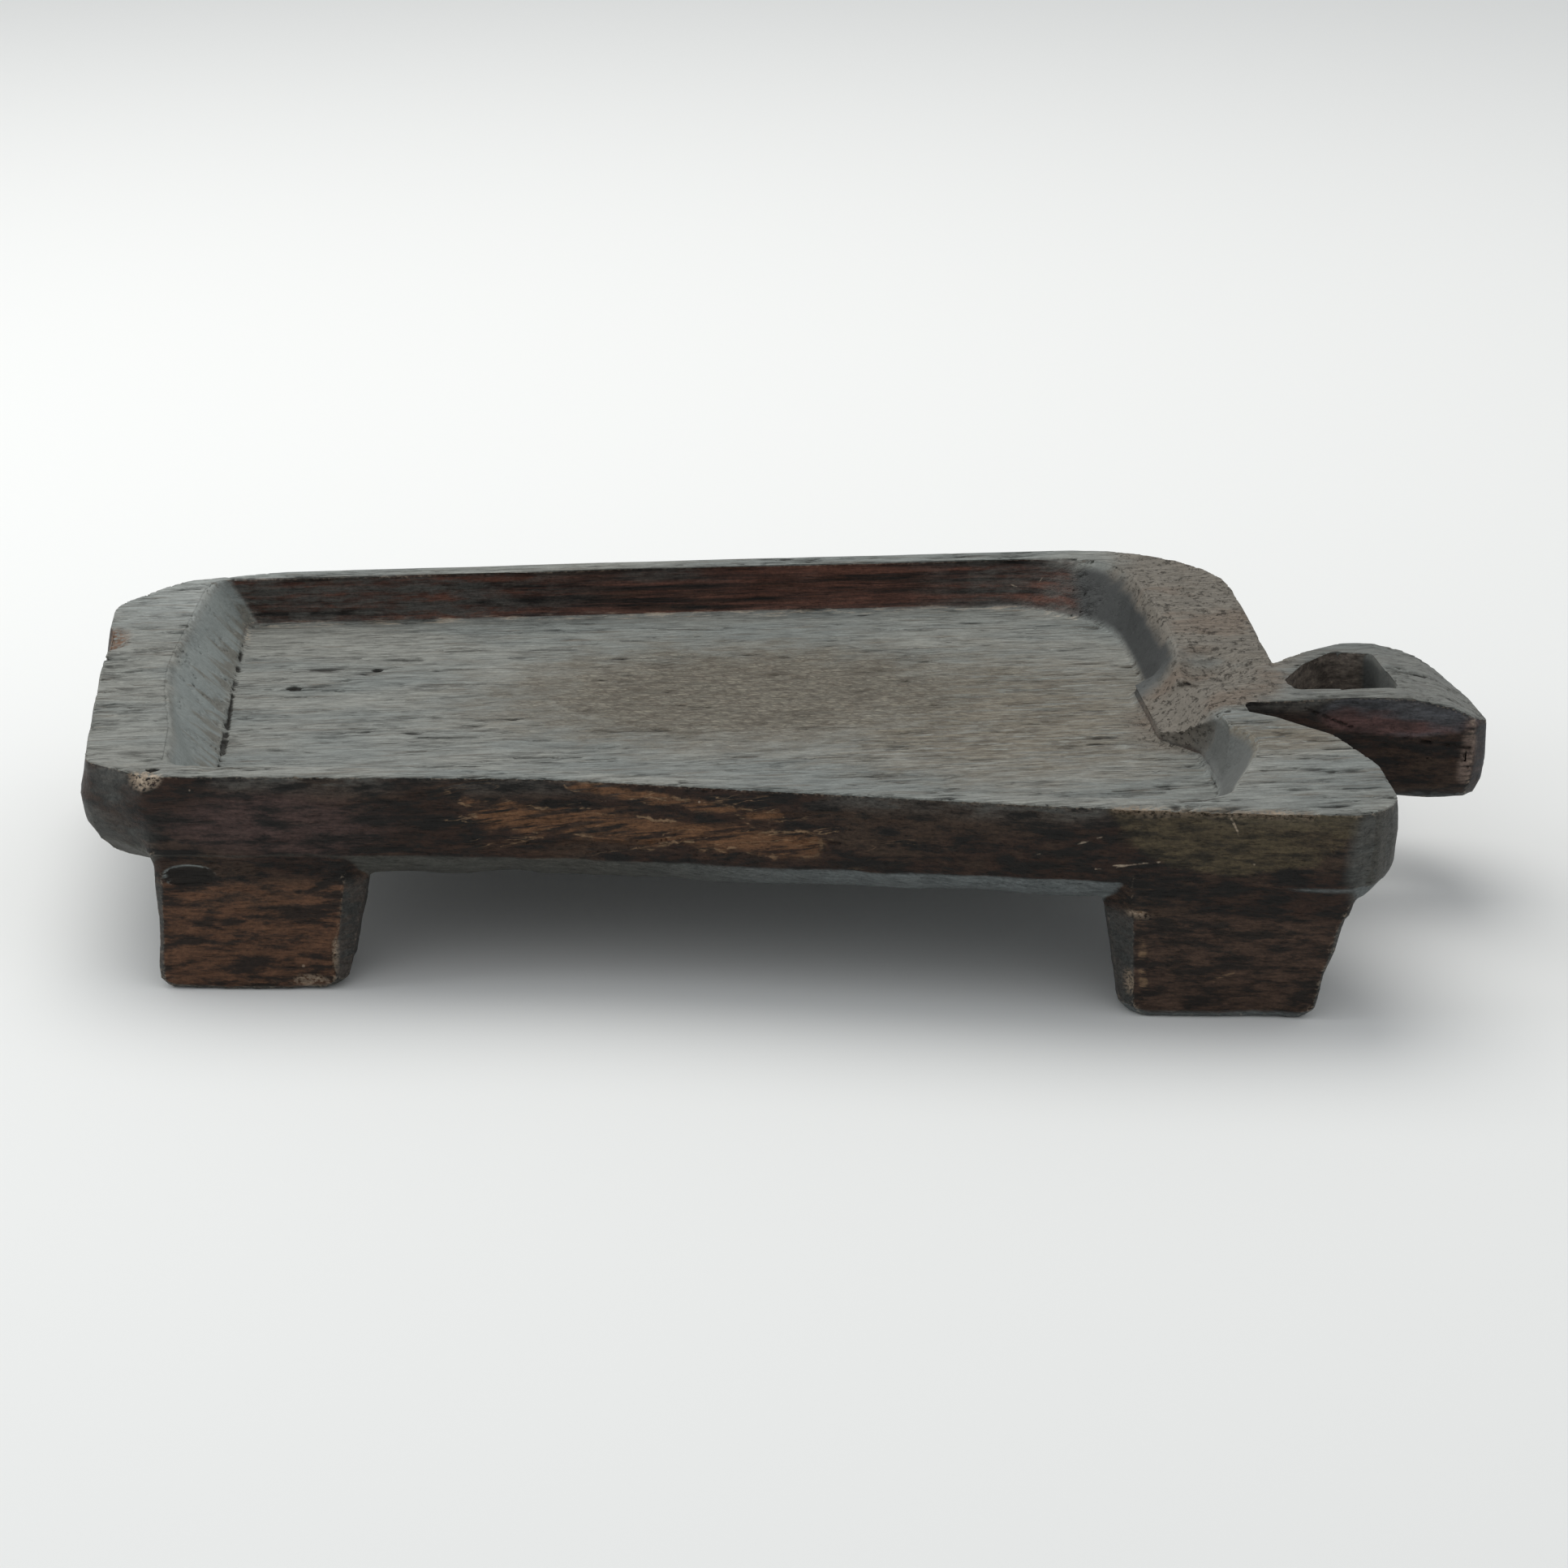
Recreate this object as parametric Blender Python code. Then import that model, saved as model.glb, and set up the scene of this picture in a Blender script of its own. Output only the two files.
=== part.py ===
"""Low footed tray with a pierced grip, hewn from one block of hardwood.

Metres, +Z up.  The feet stand on z = 0, the grip points to +X and the long
slanting side faces -Y.  The block is handed over as its natural parts (tray,
grip and four feet), which meet on plain flat planes with a hair of clearance.
"""

import math
from collections import namedtuple

import bmesh
import bpy
from mathutils import Matrix, Vector

# Driving dimensions
RIM_HEIGHT = 0.098  # ground to the flat top of the rim
BODY_THICKNESS = 0.050  # rim top to the underside of the tray
WELL_DEPTH = 0.024  # rim top to the floor of the well
CLEARANCE = 0.0003  # between parts that meet
SKIN = 0.0002  # keeps two united faces from lying in one plane
WELD = 1e-6  # points closer than this are one
STEPS = 6  # segments in each rounded corner

THINNER_END = 0.07  # share by which the tray is thinner towards the grip
THINNING_FROM = -0.060  # where along X that starts, and how far it takes
THINNING_LENGTH = 0.190
OVERRUN = 0.012  # how far a cutter or a buried root runs past the face it serves

UNDERSIDE = RIM_HEIGHT - BODY_THICKNESS
FLOOR = RIM_HEIGHT - WELL_DEPTH

# Plan of the tray at its widest, anticlockwise from the front left: x, y, corner radius
TRAY_PLAN = [
    (-0.289, -0.104, 0.012),
    (-0.120, -0.121, 0.300),
    (0.105, -0.176, 0.300),
    (0.2495, -0.201, 0.026),
    (0.2505, -0.134, 0.030),
    (0.2400, -0.094, 0.022),
    (0.2190, -0.067, 0.014),
    (0.2085, -0.059, 0.004),
    (0.2085, 0.0118, 0.003),
    (0.2335, 0.0118, 0.003),
    (0.2400, 0.2025, 0.072),
    (-0.030, 0.2015, 0.900),
    (-0.238, 0.1985, 0.100),
    (-0.292, 0.186, 0.030),
    (-0.3215, 0.146, 0.030),
    (-0.3205, 0.020, 0.600),
    (-0.3185, -0.080, 0.016),
]
# How far the side is drawn in at each height below the rim: left, right, front, back
TRAY_RINGS = [
    (0.000, 0.0040, 0.0015, 0.0010, 0.0010),
    (0.004, 0.0028, 0.0003, 0.0000, 0.0000),
    (0.018, 0.0000, 0.0000, 0.0000, 0.0000),
    (0.030, 0.0030, 0.0010, 0.0000, 0.0000),
    (0.038, 0.0100, 0.0040, 0.0010, 0.0015),
    (0.045, 0.0220, 0.0110, 0.0055, 0.0070),
    (BODY_THICKNESS - SKIN, 0.0360, 0.0220, 0.0110, 0.0130),
]

# The well: its edge at the rim and its edge at the floor, corner for corner
WELL_EDGE = [
    (-0.279, -0.090, 0.012),
    (-0.110, -0.112, 0.300),
    (0.100, -0.163, 0.200),
    (0.176, -0.172, 0.018),
    (0.205, -0.100, 0.035),
    (0.193, -0.058, 0.014),
    (0.188, -0.004, 0.030),
    (0.193, 0.070, 0.080),
    (0.190, 0.188, 0.036),
    (-0.030, 0.1885, 0.900),
    (-0.273, 0.186, 0.014),
    (-0.287, 0.045, 0.300),
]
FLOOR_EDGE = [
    (-0.261, -0.082, 0.008),
    (-0.110, -0.104, 0.300),
    (0.100, -0.154, 0.200),
    (0.168, -0.156, 0.012),
    (0.187, -0.100, 0.035),
    (0.186, -0.050, 0.016),
    (0.178, 0.020, 0.030),
    (0.180, 0.080, 0.060),
    (0.179, 0.179, 0.060),
    (-0.030, 0.182, 0.900),
    (-0.256, 0.182, 0.008),
    (-0.261, 0.045, 0.300),
]
# The fillet at the foot of the well's wall: height above the floor, share of the wall's slope
WELL_FILLET = [(0.0, -0.10), (0.0035, 0.075)]

# The raised tongue that leads from the floor of the well up to the grip
TONGUE_TIP = 0.171
TONGUE_STEP = 0.0045  # height of its end above the floor
TONGUE_TOE = 0.009  # length and rise of the easier slope at its end
TONGUE_TOE_RISE = 0.0045
TONGUE_SHOULDER = 0.192  # where its slope eases into the neck
TONGUE_EASE = 0.008  # length and rise of that easing
TONGUE_EASE_RISE = 0.0025
TONGUE_ROOT = 0.208  # where the tongue ends under the neck
CORRIDOR_FRONT = -0.060  # the rim is taken down to the tongue between these
CORRIDOR_BACK = 0.002
NECK_START = 0.190
NECK_DROP = 0.0006  # neck top below the rim
NECK_FRONT = -0.0455
NECK_BACK = 0.0135
TONGUE_BACK = 0.039
# Its front edge runs slantwise from its tip to the front wall of the well
TONGUE_CORNER = [(0.160, -0.030), (TONGUE_TIP, -0.030), (0.1945, -0.064), (0.1945, -0.080), (0.160, -0.080)]
TONGUE_FRONT = -0.0640

# The grip and its slot
GRIP_ROOT = 0.213
GRIP_PLAN = [
    (0.198, -0.0465, 0.0),
    (0.262, -0.0460, 0.100),
    (0.313, -0.0540, 0.004),
    (0.3220, -0.0450, 0.004),
    (0.3215, -0.0120, 0.030),
    (0.312, 0.0190, 0.020),
    (0.296, 0.0345, 0.012),
    (0.271, 0.0380, 0.012),
    (0.250, 0.0260, 0.020),
    (0.2325, 0.0114, 0.010),
    (0.198, 0.0114, 0.0),
]
SLOT_PLAN = [
    (0.235, -0.0300, 0.004),
    (0.282, -0.0315, 0.003),
    (0.281, 0.0180, 0.004),
    (0.263, 0.0230, 0.005),
    (0.246, 0.0060, 0.010),
    (0.233, -0.0160, 0.004),
]
# How far the grip's side is drawn in: right, front, back
GRIP_SOLE = (0.004, 0.004, 0.007)
GRIP_BILGE = (0.001, 0.001, 0.002)
GRIP_TOP = (0.0005, 0.0015, 0.001)
GRIP_BILGE_HEIGHT = 0.008  # above the underside
CREASE_START = 0.258  # the grip's front face is folded along a falling line
CREASE_END = 0.305
CREASE_DROP = 0.013
CREASE_SLOPE = 0.37
# The grip's top falls away towards its end: x and drop below the rim
TIP_FALL = [(0.284, 0.0), (0.304, 0.0039), (0.3215, 0.013), (0.330, 0.0208)]

# Each foot: the two outer corners at the tray, how far each flank draws in on the way
# down, how far the outer face splays, the chamfer of the outer left corner (the outer
# right one gets what is left of both), and 1 for a front foot or -1 for a back one
Foot = namedtuple("Foot", "left right draw_left draw_right splay chamfer_left side")
FOOT_DEPTH = 0.056
FOOT_STUB = 0.020  # how far a foot's root runs up into the tray
FOOT_WAIST = 0.55  # share of the foot's height that has a ring of its own
BOTH_CHAMFERS = 0.015
INNER_CHAMFER = 0.011
CHAMFER_FADE = 0.45  # share of a chamfer that is lost by the sole
SOLE_ROUNDING = 0.0045
FEET = {
    "foot_front_left": Foot((-0.286, -0.1035), (-0.191, -0.1125), 0.0015, 0.0105, 0.009, 0.004, 1),
    "foot_front_right": Foot((0.1215, -0.1790), (0.2265, -0.1925), 0.0075, 0.0145, -0.003, 0.012, 1),
    "foot_back_left": Foot((-0.278, 0.191), (-0.188, 0.197), 0.008, 0.008, 0.004, 0.005, -1),
    "foot_back_right": Foot((0.112, 0.199), (0.206, 0.196), 0.009, 0.009, 0.004, 0.011, -1),
}

SATIN = 0.62  # roughness of the rubbed wood
SMOOTH_BELOW = 32  # degrees between faces that are shaded as one surface
COLOURS = {
    "tray_body": (0.105, 0.095, 0.085),
    "handle": (0.095, 0.070, 0.060),
    "foot_front_left": (0.100, 0.058, 0.040),
    "foot_front_right": (0.060, 0.045, 0.036),
    "foot_back_left": (0.085, 0.055, 0.040),
    "foot_back_right": (0.075, 0.050, 0.038),
}


def clear_scene():
    for obj in list(bpy.data.objects):
        bpy.data.objects.remove(obj)


def new_collection(name):
    collection = bpy.data.collections.new(name)
    bpy.context.scene.collection.children.link(collection)
    return collection


def rounded(corners):
    """Points of a closed outline whose corners are turned as arcs, the same number at each corner."""
    points = []
    for index, (x, y, radius) in enumerate(corners):
        corner = Vector((x, y))
        before = (Vector(corners[index - 1][:2]) - corner).normalized()
        after = (Vector(corners[(index + 1) % len(corners)][:2]) - corner).normalized()
        if radius == 0.0:
            points.append(corner)
            continue
        half_angle = before.angle(after) / 2
        middle = corner + (before + after).normalized() * (radius / math.sin(half_angle))
        start = corner + before * (radius / math.tan(half_angle)) - middle
        end = corner + after * (radius / math.tan(half_angle)) - middle
        sweep = start.angle_signed(end)
        for step in range(STEPS + 1):
            turn = -sweep * step / STEPS
            spoke = Vector((
                start.x * math.cos(turn) - start.y * math.sin(turn),
                start.x * math.sin(turn) + start.y * math.cos(turn),
            ))
            points.append(middle + spoke)
    return points


def drawn_in(points, left, right, front, back):
    """An anticlockwise outline moved inwards, by an amount that depends on which way its side faces."""
    moved = []
    for index, point in enumerate(points):
        along = points[(index + 1) % len(points)] - points[index - 1]
        outward = Vector((along.y, -along.x)).normalized()
        amount = (left if outward.x < 0 else right) * outward.x ** 2
        amount += (front if outward.y < 0 else back) * outward.y ** 2
        moved.append(point - outward * amount)
    return moved


def at_height(points, z):
    return [(point.x, point.y, z) for point in points]


def finish_mesh(name, shape, collection):
    bmesh.ops.recalc_face_normals(shape, faces=shape.faces)
    mesh = bpy.data.meshes.new(name)
    shape.to_mesh(mesh)
    shape.free()
    obj = bpy.data.objects.new(name, mesh)
    collection.objects.link(obj)
    return obj


def loft(name, rings, collection):
    """A closed solid through rings of equal point count, from the lowest ring to the highest."""
    shape = bmesh.new()
    rows = [[shape.verts.new(point) for point in ring] for ring in rings]
    count = len(rows[0])
    for lower, upper in zip(rows, rows[1:]):
        for index in range(count):
            following = (index + 1) % count
            shape.faces.new((lower[index], lower[following], upper[following], upper[index]))
    shape.faces.new(list(reversed(rows[0])))
    shape.faces.new(rows[-1])
    return finish_mesh(name, shape, collection)


def box(name, low, high, collection):
    low, high = Vector(low), Vector(high)
    shape = bmesh.new()
    bmesh.ops.create_cube(shape, matrix=Matrix.LocRotScale((low + high) / 2, None, high - low))
    return finish_mesh(name, shape, collection)


def extruded(name, outline, thickness, placing, collection):
    """A flat outline drawn as a filled curve, thickened both ways from its plane, then placed."""
    curve = bpy.data.curves.new(name, "CURVE")
    curve.dimensions = "2D"
    curve.fill_mode = "BOTH"
    curve.extrude = thickness / 2
    spline = curve.splines.new("POLY")
    spline.points.add(len(outline) - 1)
    for point, (x, y) in zip(spline.points, outline):
        point.co = (x, y, 0.0, 1.0)
    spline.use_cyclic_u = True
    drawing = bpy.data.objects.new(f"{name}_outline", curve)
    collection.objects.link(drawing)
    graph = bpy.context.evaluated_depsgraph_get()
    flat = bpy.data.meshes.new_from_object(drawing.evaluated_get(graph))
    bpy.data.objects.remove(drawing)
    shape = bmesh.new()
    shape.from_mesh(flat)
    bmesh.ops.remove_doubles(shape, verts=shape.verts, dist=WELD)
    shape.transform(placing)
    return finish_mesh(name, shape, collection)


def prism(name, outline, low, high, collection):
    placing = Matrix.Translation((0.0, 0.0, (low + high) / 2))
    return extruded(name, outline, high - low, placing, collection)


def side_prism(name, outline, front, back, collection):
    """A solid whose outline lies in the XZ plane."""
    placing = Matrix.Translation((0.0, (front + back) / 2, 0.0)) @ Matrix.Rotation(math.radians(90), 4, "X")
    return extruded(name, outline, back - front, placing, collection)


def as_helper(obj):
    obj.hide_render = True
    obj.display_type = "WIRE"
    return obj


def combine(obj, operation, other):
    modifier = obj.modifiers.new(f"{operation.lower()}_{other.name}", "BOOLEAN")
    modifier.operation = operation
    modifier.solver = "EXACT"
    modifier.object = as_helper(other)


def foot_section(foot, depth_below):
    """Chamfered four-sided section of a foot, at a distance below the underside of the tray."""
    share = depth_below / UNDERSIDE
    left, right = Vector(foot.left), Vector(foot.right)
    across = (right - left).normalized()
    inwards = Vector((-across.y, across.x)) * foot.side
    outer_left = left + (across * foot.draw_left - inwards * foot.splay) * share
    outer_right = right - (across * foot.draw_right + inwards * foot.splay) * share
    depth = FOOT_DEPTH - (foot.draw_left + foot.draw_right) * share
    slimmer = 1 - CHAMFER_FADE * share
    corners = [
        (outer_left, foot.chamfer_left * slimmer),
        (outer_right, (BOTH_CHAMFERS - foot.chamfer_left) * slimmer),
        (outer_right + inwards * depth, INNER_CHAMFER * slimmer),
        (outer_left + inwards * depth, INNER_CHAMFER * slimmer),
    ]
    if foot.side < 0:
        corners.reverse()
    section = []
    for index, (corner, cut) in enumerate(corners):
        before = (corners[index - 1][0] - corner).normalized()
        after = (corners[(index + 1) % 4][0] - corner).normalized()
        section += [corner + before * cut, corner + after * cut]
    return section


def foot_rings(foot, heights, rounding=0.0):
    rings = []
    for z in heights:
        section = foot_section(foot, UNDERSIDE - z)
        if rounding and z == heights[0]:
            middle = sum(section, Vector((0, 0))) / len(section)
            section = [point + (middle - point).normalized() * rounding for point in section]
        rings.append(at_height(section, z))
    return rings


def make_well(helpers):
    edge, floor = rounded(WELL_EDGE), rounded(FLOOR_EDGE)
    rings = []
    # above its fillet the straight slope is carried on past the rim
    for height, share in (*WELL_FILLET, (WELL_DEPTH + OVERRUN, 1 + OVERRUN / WELL_DEPTH)):
        ring = [low + (high - low) * share for low, high in zip(floor, edge)]
        rings.append(at_height(ring, FLOOR + height))
    return loft("well_cutter", rings, helpers)


def thickness_share(x):
    """The tray is full thickness at its left half and thins smoothly towards the grip."""
    along = max(0.0, min(1.0, (x - THINNING_FROM) / THINNING_LENGTH))
    return 1 - THINNER_END * along * along * (3 - 2 * along)


def make_tray(parts, helpers):
    outline = rounded(TRAY_PLAN)
    rings = []
    for drop, *sides in reversed(TRAY_RINGS):
        ring = drawn_in(outline, *sides)
        rings.append([(point.x, point.y, RIM_HEIGHT - drop * thickness_share(point.x)) for point in ring])
    tray = loft("tray_body", rings, parts)
    for name, foot in FEET.items():
        stub = foot_rings(foot, (UNDERSIDE, UNDERSIDE + FOOT_STUB))
        combine(tray, "UNION", loft(f"{name}_stub", stub, helpers))
    combine(tray, "DIFFERENCE", make_well(helpers))
    add_neck_and_tongue(tray, helpers)
    return tray


def add_neck_and_tongue(tray, helpers):
    top = RIM_HEIGHT - NECK_DROP
    low_corner = (NECK_START, NECK_FRONT, UNDERSIDE)
    high_corner = (GRIP_ROOT - CLEARANCE, NECK_BACK, top + SKIN)
    combine(tray, "UNION", box("neck", low_corner, high_corner, helpers))
    # the slope: a low step, an easy rise, then level with the neck
    toe = FLOOR + TONGUE_STEP
    slope = [
        (TONGUE_TIP, toe),
        (TONGUE_TIP + TONGUE_TOE, toe + TONGUE_TOE_RISE),
        (TONGUE_SHOULDER, top - TONGUE_EASE_RISE),
        (TONGUE_SHOULDER + TONGUE_EASE, top),
    ]
    low, high = UNDERSIDE + OVERRUN, RIM_HEIGHT + OVERRUN
    tongue = [(TONGUE_TIP, low), (TONGUE_ROOT, low), (TONGUE_ROOT, top + SKIN)]
    tongue += [(x, z + SKIN) for x, z in reversed(slope)]
    block = side_prism("tongue", tongue, TONGUE_FRONT, TONGUE_BACK, helpers)
    combine(block, "DIFFERENCE", prism("tongue_corner", TONGUE_CORNER, low - OVERRUN, high, helpers))
    combine(tray, "UNION", block)
    before, beyond = TONGUE_TIP - OVERRUN / 2, GRIP_ROOT + OVERRUN
    corridor = [(before, toe), *slope, (beyond, top), (beyond, high), (before, high)]
    cutter = side_prism("corridor_cutter", corridor, CORRIDOR_FRONT, CORRIDOR_BACK, helpers)
    combine(tray, "DIFFERENCE", cutter)


def crease_height(x):
    return RIM_HEIGHT - CREASE_DROP - CREASE_SLOPE * max(0.0, min(x, CREASE_END) - CREASE_START)


def make_grip(parts, helpers):
    outline = rounded(GRIP_PLAN)
    rings = [
        at_height(drawn_in(outline, 0.0, *GRIP_SOLE), UNDERSIDE),
        at_height(drawn_in(outline, 0.0, *GRIP_BILGE), UNDERSIDE + GRIP_BILGE_HEIGHT),
        [(point.x, point.y, crease_height(point.x)) for point in outline],
        at_height(drawn_in(outline, 0.0, *GRIP_TOP), RIM_HEIGHT),
    ]
    grip = loft("handle", rings, parts)
    front = min(point.y for point in outline) - OVERRUN
    back = max(point.y for point in outline) + OVERRUN
    low, high = UNDERSIDE - OVERRUN, RIM_HEIGHT + OVERRUN
    start = min(point.x for point in outline) - OVERRUN
    root = box("root_cutter", (start, front, low), (GRIP_ROOT, back, high), helpers)
    combine(grip, "DIFFERENCE", root)
    fall = [(x, RIM_HEIGHT - drop) for x, drop in TIP_FALL]
    fall += [(TIP_FALL[-1][0], high), (TIP_FALL[0][0], high)]
    combine(grip, "DIFFERENCE", side_prism("tip_cutter", fall, front, back, helpers))
    combine(grip, "DIFFERENCE", prism("slot_cutter", rounded(SLOT_PLAN), low, high, helpers))
    return grip


def make_foot(name, foot, parts):
    top = UNDERSIDE - CLEARANCE
    heights = (0.0, SOLE_ROUNDING, UNDERSIDE * FOOT_WAIST, top)
    return loft(name, foot_rings(foot, heights, rounding=SOLE_ROUNDING), parts)


def wood(name, colour):
    material = bpy.data.materials.new(f"{name}_wood")
    material.use_nodes = True
    shader = material.node_tree.nodes["Principled BSDF"]
    shader.inputs["Base Color"].default_value = (*colour, 1.0)
    shader.inputs["Roughness"].default_value = SATIN
    shader.inputs["Metallic"].default_value = 0.0
    return material


def centre_on_origin(parts, everything):
    """Puts the middle of the finished object's footprint on the origin."""
    bpy.context.view_layer.update()
    graph = bpy.context.evaluated_depsgraph_get()
    points = [part.evaluated_get(graph).matrix_world @ Vector(corner)
              for part in parts for corner in part.evaluated_get(graph).bound_box]
    middle = [(min(p[axis] for p in points) + max(p[axis] for p in points)) / 2 for axis in (0, 1)]
    for obj in everything:
        obj.location = (-middle[0], -middle[1], 0.0)


clear_scene()
parts_collection = new_collection("footed_tray")
helpers_collection = new_collection("cutters")
made = [make_tray(parts_collection, helpers_collection), make_grip(parts_collection, helpers_collection)]
made += [make_foot(name, foot, parts_collection) for name, foot in FEET.items()]
for part in made:
    part.data.materials.append(wood(part.name, COLOURS[part.name]))
    part.data.shade_smooth()
    part.data.set_sharp_from_angle(angle=math.radians(SMOOTH_BELOW))
centre_on_origin(made, made + list(helpers_collection.objects))
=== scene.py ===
import math

import bmesh
import bpy
import numpy as np
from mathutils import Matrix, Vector


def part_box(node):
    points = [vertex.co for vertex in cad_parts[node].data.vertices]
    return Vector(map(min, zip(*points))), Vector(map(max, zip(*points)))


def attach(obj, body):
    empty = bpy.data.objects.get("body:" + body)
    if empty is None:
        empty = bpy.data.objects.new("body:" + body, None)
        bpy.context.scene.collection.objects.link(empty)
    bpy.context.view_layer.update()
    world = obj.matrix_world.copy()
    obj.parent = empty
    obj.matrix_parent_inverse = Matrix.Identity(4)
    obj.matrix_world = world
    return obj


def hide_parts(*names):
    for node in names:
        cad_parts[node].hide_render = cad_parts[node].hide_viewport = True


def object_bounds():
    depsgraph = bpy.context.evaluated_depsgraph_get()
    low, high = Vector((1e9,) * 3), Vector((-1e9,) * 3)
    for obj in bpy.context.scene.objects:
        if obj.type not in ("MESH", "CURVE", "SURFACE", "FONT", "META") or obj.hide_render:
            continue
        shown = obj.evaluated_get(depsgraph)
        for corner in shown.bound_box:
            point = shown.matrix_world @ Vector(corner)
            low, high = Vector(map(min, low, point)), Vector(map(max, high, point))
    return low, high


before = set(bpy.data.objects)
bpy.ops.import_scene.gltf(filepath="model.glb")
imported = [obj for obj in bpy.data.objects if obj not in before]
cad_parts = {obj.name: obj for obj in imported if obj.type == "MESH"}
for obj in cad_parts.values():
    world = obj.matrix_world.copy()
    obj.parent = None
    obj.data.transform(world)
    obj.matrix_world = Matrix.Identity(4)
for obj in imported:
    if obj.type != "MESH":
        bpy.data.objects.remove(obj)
cadLow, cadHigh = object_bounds()
rimTop = cadHigh.z
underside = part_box("foot_front_left")[1].z


# A small language for node trees: the same words write the carving and the finish

class Field:
    def __init__(self, tree, socket):
        self.tree = tree
        self.socket = socket

    def __add__(self, other):
        return maths("ADD", self, other)

    def __radd__(self, other):
        return maths("ADD", other, self)

    def __sub__(self, other):
        return maths("SUBTRACT", self, other)

    def __rsub__(self, other):
        return maths("SUBTRACT", other, self)

    def __mul__(self, other):
        return maths("MULTIPLY", self, other)

    def __abs__(self):
        return maths("ABSOLUTE", self)


def put(tree, kind, values, output=0, **settings):
    node = tree.nodes.new(kind)
    for name, value in settings.items():
        setattr(node, name, value)
    for key, value in values.items():
        if isinstance(value, Field):
            tree.links.new(value.socket, node.inputs[key])
        else:
            node.inputs[key].default_value = value
    return Field(tree, node.outputs[output])


def maths(kind, first, second=None):
    tree = (first if isinstance(first, Field) else second).tree
    values = {0: first} if second is None else {0: first, 1: second}
    return put(tree, "ShaderNodeMath", values, operation=kind)


def highest(first, second):
    return maths("MAXIMUM", first, second)


def lowest(first, second):
    return maths("MINIMUM", first, second)


def ramp(value, start, end):
    # eases from 0 at start to 1 at end
    values = {"Value": value, "From Min": start, "From Max": end}
    return put(value.tree, "ShaderNodeMapRange", values, interpolation_type="SMOOTHSTEP")


def vector(kind, first, second, output=0):
    return put(first.tree, "ShaderNodeVectorMath", {0: first, 1: second}, output, operation=kind)


def turned(place, axis, degrees):
    values = {"Vector": place, "Axis": axis, "Angle": math.radians(degrees)}
    return put(place.tree, "ShaderNodeVectorRotate", values)


def split(place):
    node = place.tree.nodes.new("ShaderNodeSeparateXYZ")
    place.tree.links.new(place.socket, node.inputs[0])
    return [Field(place.tree, output) for output in node.outputs]


def cloud(place, grain, detail=3.0, roughness=0.55):
    # grain is the size of a blotch along X, Y and Z, in metres
    at = vector("DIVIDE", place, grain)
    values = {"Vector": at, "Scale": 1.0, "Detail": detail, "Roughness": roughness}
    return put(place.tree, "ShaderNodeTexNoise", values)


def cells(place, grain, output="Distance", feature="F1"):
    # the distance to the nearest cell's middle or edge, or the cell's own colour
    at = vector("DIVIDE", place, grain)
    return put(place.tree, "ShaderNodeTexVoronoi", {"Vector": at, "Scale": 1.0}, output, feature=feature)


sharedClouds = {}
raggedGrain = (0.020, 0.012, 0.012)  # the noise that roughens the edges of zones
wanderGrain = (0.008, 0.008, 0.008)  # the noise that bends lines


def sharedCloud(place, grain):
    # one cloud serves all the zones, and another all the lines, of a tree
    key = (place.tree.name, grain)
    if key not in sharedClouds:
        sharedClouds[key] = cloud(place, grain)
    return sharedClouds[key]


def zone(place, centre, reach, ragged=0.0, soft=0.35):
    # 1 inside an ellipsoid, 0 outside, with an edge that noise can roughen
    at = vector("DIVIDE", vector("SUBTRACT", place, centre), reach)
    distance = put(place.tree, "ShaderNodeVectorMath", {0: at}, "Value", operation="LENGTH")
    if ragged:
        distance = distance + (sharedCloud(place, raggedGrain) - 0.5) * ragged
    return ramp(distance, 1.0 + soft, 1.0 - soft)


def lineOver(place, start, end, width, wander=0.0):
    # 1 on a straight line between two points, 0 at its width and beyond
    start, end = Vector(start), Vector(end)
    along = end - start
    offset = vector("SUBTRACT", place, start)
    share = vector("DOT_PRODUCT", offset, along / along.length_squared, "Value")
    share = highest(lowest(share, 1.0), 0.0)
    nearest = put(place.tree, "ShaderNodeVectorMath", {0: along, "Scale": share}, operation="SCALE")
    gap = vector("DISTANCE", offset, nearest, "Value")
    if wander:
        gap = gap + (sharedCloud(place, wanderGrain) - 0.5) * wander
    return ramp(abs(gap), width, width * 0.25)


# Camera, light and floor

cameraSetup = {"lens": 89.09, "sensor": 36.0, "tilt": 20.0, "turn": -4.9, "distance": 1.6675,
               "aimInward": 0.0571, "aimAside": -0.012}


def placeCamera(settings):
    tilt, turn = math.radians(settings["tilt"]), math.radians(settings["turn"])
    forward = Vector((-math.sin(turn) * math.cos(tilt),
                      math.cos(turn) * math.cos(tilt),
                      -math.sin(tilt)))
    aim = Vector((settings["aimAside"], cadLow.y + settings["aimInward"], rimTop))
    data = bpy.data.cameras.new("camera")
    data.lens = settings["lens"]
    data.sensor_width = settings["sensor"]
    camera = bpy.data.objects.new("camera", data)
    camera.location = aim - forward * settings["distance"]
    camera.rotation_euler = forward.to_track_quat("-Z", "Y").to_euler()
    bpy.context.scene.collection.objects.link(camera)
    bpy.context.scene.camera = camera


lightSetup = {
    "sky": {"colour": (0.95, 0.98, 1.0), "strength": 0.62},
    "overhead": {"from": (-0.5, 1.2, 2.6), "size": 2.6, "power": 46.0, "colour": (1.0, 0.99, 0.96)},
    "window": {"from": (-2.2, 0.2, 1.3), "size": 1.4, "power": 12.0, "colour": (0.94, 0.98, 1.0)},
}


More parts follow.
